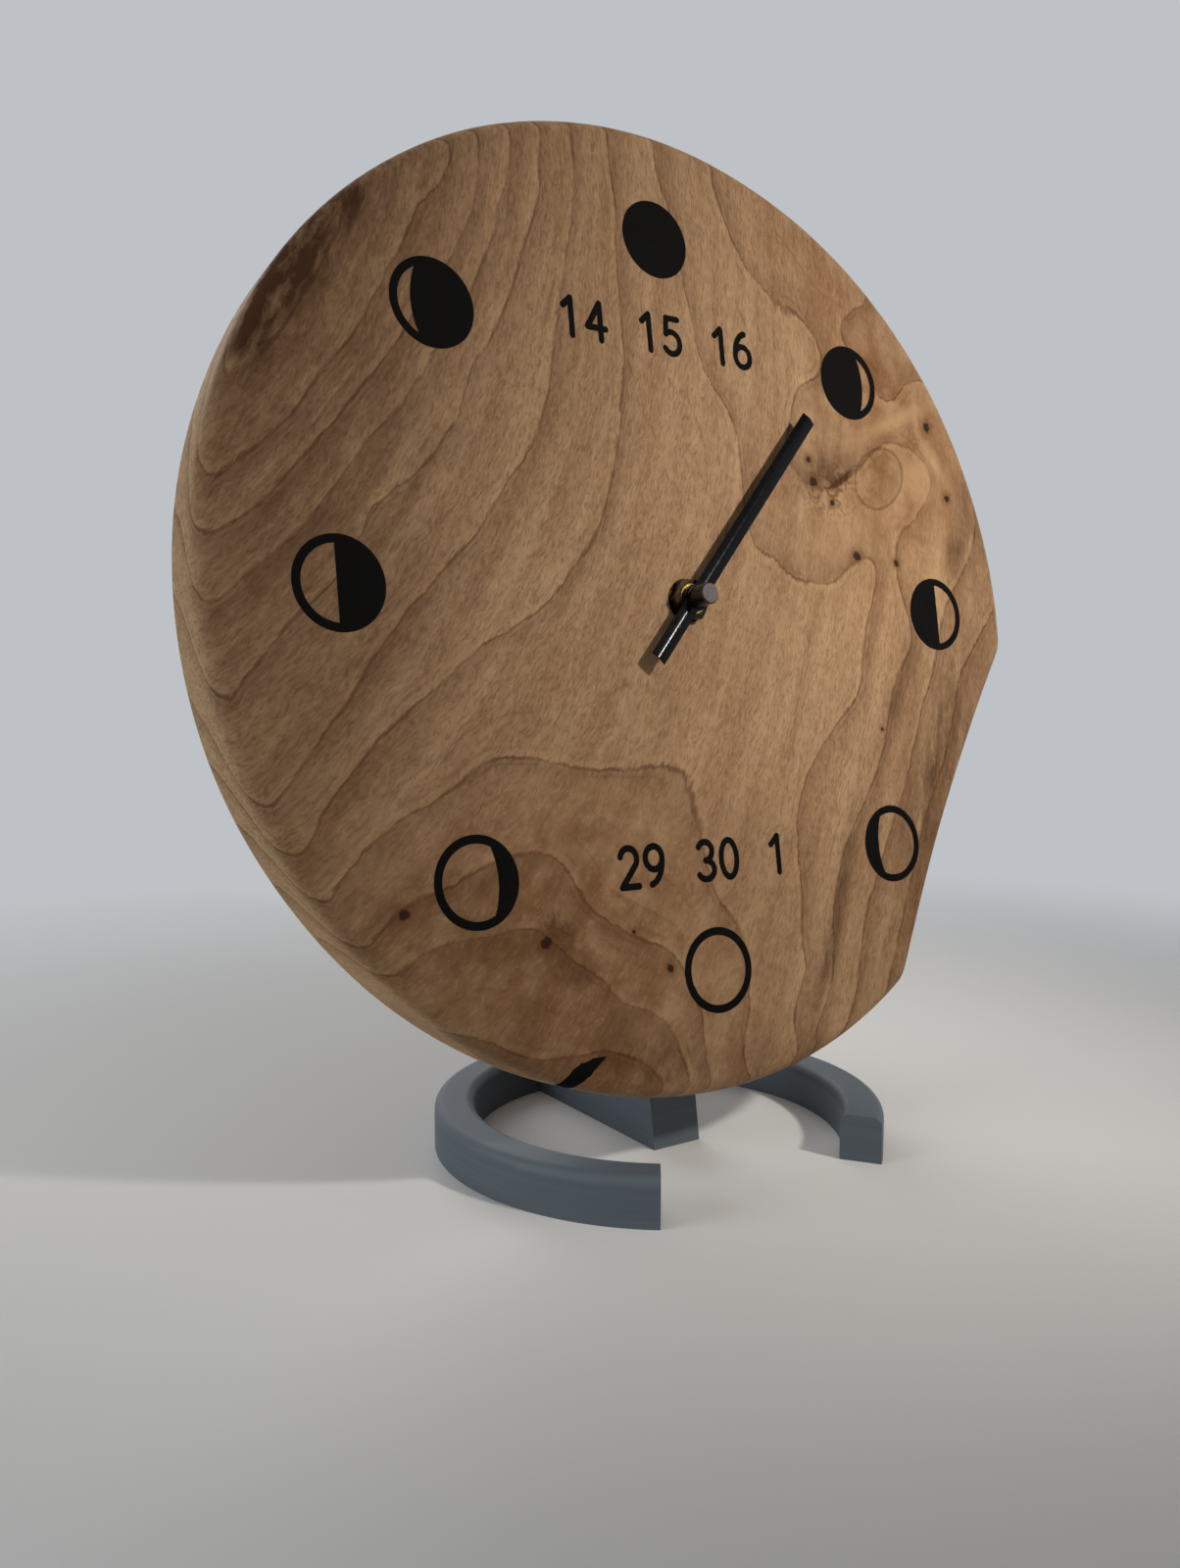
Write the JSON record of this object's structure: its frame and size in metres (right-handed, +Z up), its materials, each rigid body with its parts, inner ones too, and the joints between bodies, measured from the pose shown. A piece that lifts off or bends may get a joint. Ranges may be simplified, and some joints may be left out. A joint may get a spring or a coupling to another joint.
{
  "type": "moon phase desk clock",
  "caption": "Round wooden dial with inlaid moon phases and a single moon hand, screwed to a leaning post on an open ring stand, with a battery movement in its back.",
  "frame": {"origin": "centre of the stand's ring, on the table", "axes": "+Z up, the dial faces -Y and leans back 9 degrees, +X to the viewer's right"},
  "size_m": [0.25, 0.1085, 0.2663],
  "materials": {
    "wood": "oiled, fine grained",
    "black_inlay": "matte resin",
    "stand_plastic": "printed, fine layers",
    "screw_steel": "zinc plated",
    "case_plastic": "moulded, lightly grained",
    "brass": "turned",
    "rubber": "matte",
    "hand_black": "gloss black lacquer",
    "cap_black": "black, satin top",
    "gear_plastic": "moulded",
    "rotor_plastic": "bonded magnet",
    "knob_plastic": "moulded, ribbed",
    "stator_steel": "punched sheet",
    "bobbin_plastic": "moulded",
    "coil_copper": "enamelled wire",
    "board": "solder mask",
    "crystal_can": "tin plated",
    "cell_jacket": "plain foil jacket"
  },
  "bodies": {
    "clock": {"dial_disc": "wood", "split_fill": "black_inlay", "mark_full_moon": "black_inlay", "mark_waning_gibbous": "black_inlay", "mark_last_quarter": "black_inlay", "mark_waning_crescent": "black_inlay", "mark_new_moon": "black_inlay", "mark_waxing_crescent": "black_inlay", "mark_first_quarter": "black_inlay", "mark_waxing_gibbous": "black_inlay", "stand": "stand_plastic", "stand_screws": "screw_steel", "movement_case": "case_plastic", "movement_cover": "case_plastic", "threaded_bush": "brass", "rubber_gasket": "rubber", "brass_washer": "brass", "hex_nut": "brass", "stator": "stator_steel", "coil_bobbin": "bobbin_plastic", "coil_winding": "coil_copper", "circuit_board": "board", "quartz_crystal": "crystal_can", "positive_contact": "stator_steel", "negative_contact": "stator_steel"},
    "hand": {"moon_hand": "hand_black", "hand_hub": "hand_black", "cap_nut": "cap_black", "moon_wheel": "gear_plastic"},
    "reduction": {"reduction_wheel": "gear_plastic"},
    "clutch": {"clutch_wheel": "gear_plastic"},
    "second": {"second_wheel": "gear_plastic"},
    "motor_rotor": {"rotor": "rotor_plastic"},
    "knob": {"setting_knob": "knob_plastic"},
    "cell": {"battery": "cell_jacket"}
  },
  "joints": [
    {"name": "moon_hand_turn", "type": "hinge", "parent": "clock", "child": "hand", "pos_m": [0, -0.01058, 0.14346], "axis": [0, 0.9877, -0.1564], "continuous": true},
    {"name": "reduction_turn", "type": "hinge", "parent": "clock", "child": "reduction", "pos_m": [-0.006, -0.00895, 0.15373], "axis": [0, 0.9877, -0.1564], "continuous": true},
    {"name": "clutch_turn", "type": "hinge", "parent": "clock", "child": "clutch", "pos_m": [-0.006, -0.00895, 0.15373], "axis": [0, 0.9877, -0.1564], "continuous": true},
    {"name": "second_turn", "type": "hinge", "parent": "clock", "child": "second", "pos_m": [0.00582, -0.00863, 0.15578], "axis": [0, 0.9877, -0.1564], "continuous": true},
    {"name": "rotor_turn", "type": "hinge", "parent": "clock", "child": "motor_rotor", "pos_m": [0.01764, -0.0083, 0.15784], "axis": [0, 0.9877, -0.1564], "continuous": true},
    {"name": "knob_turn", "type": "hinge", "parent": "clock", "child": "knob", "pos_m": [-0.01639, -0.00801, 0.15965], "axis": [0, 0.9877, -0.1564], "continuous": true},
    {"name": "battery_out", "type": "slide", "parent": "clock", "child": "cell", "axis": [0, 0.9877, -0.1564], "range_m": [0, 0.03]}
  ],
  "couplings": [
    {"joint": "reduction_turn", "follows": "moon_hand_turn", "ratio": -4},
    {"joint": "clutch_turn", "follows": "moon_hand_turn", "ratio": -4},
    {"joint": "knob_turn", "follows": "moon_hand_turn", "ratio": 16},
    {"joint": "second_turn", "follows": "moon_hand_turn", "ratio": 16},
    {"joint": "rotor_turn", "follows": "moon_hand_turn", "ratio": -64}
  ]
}
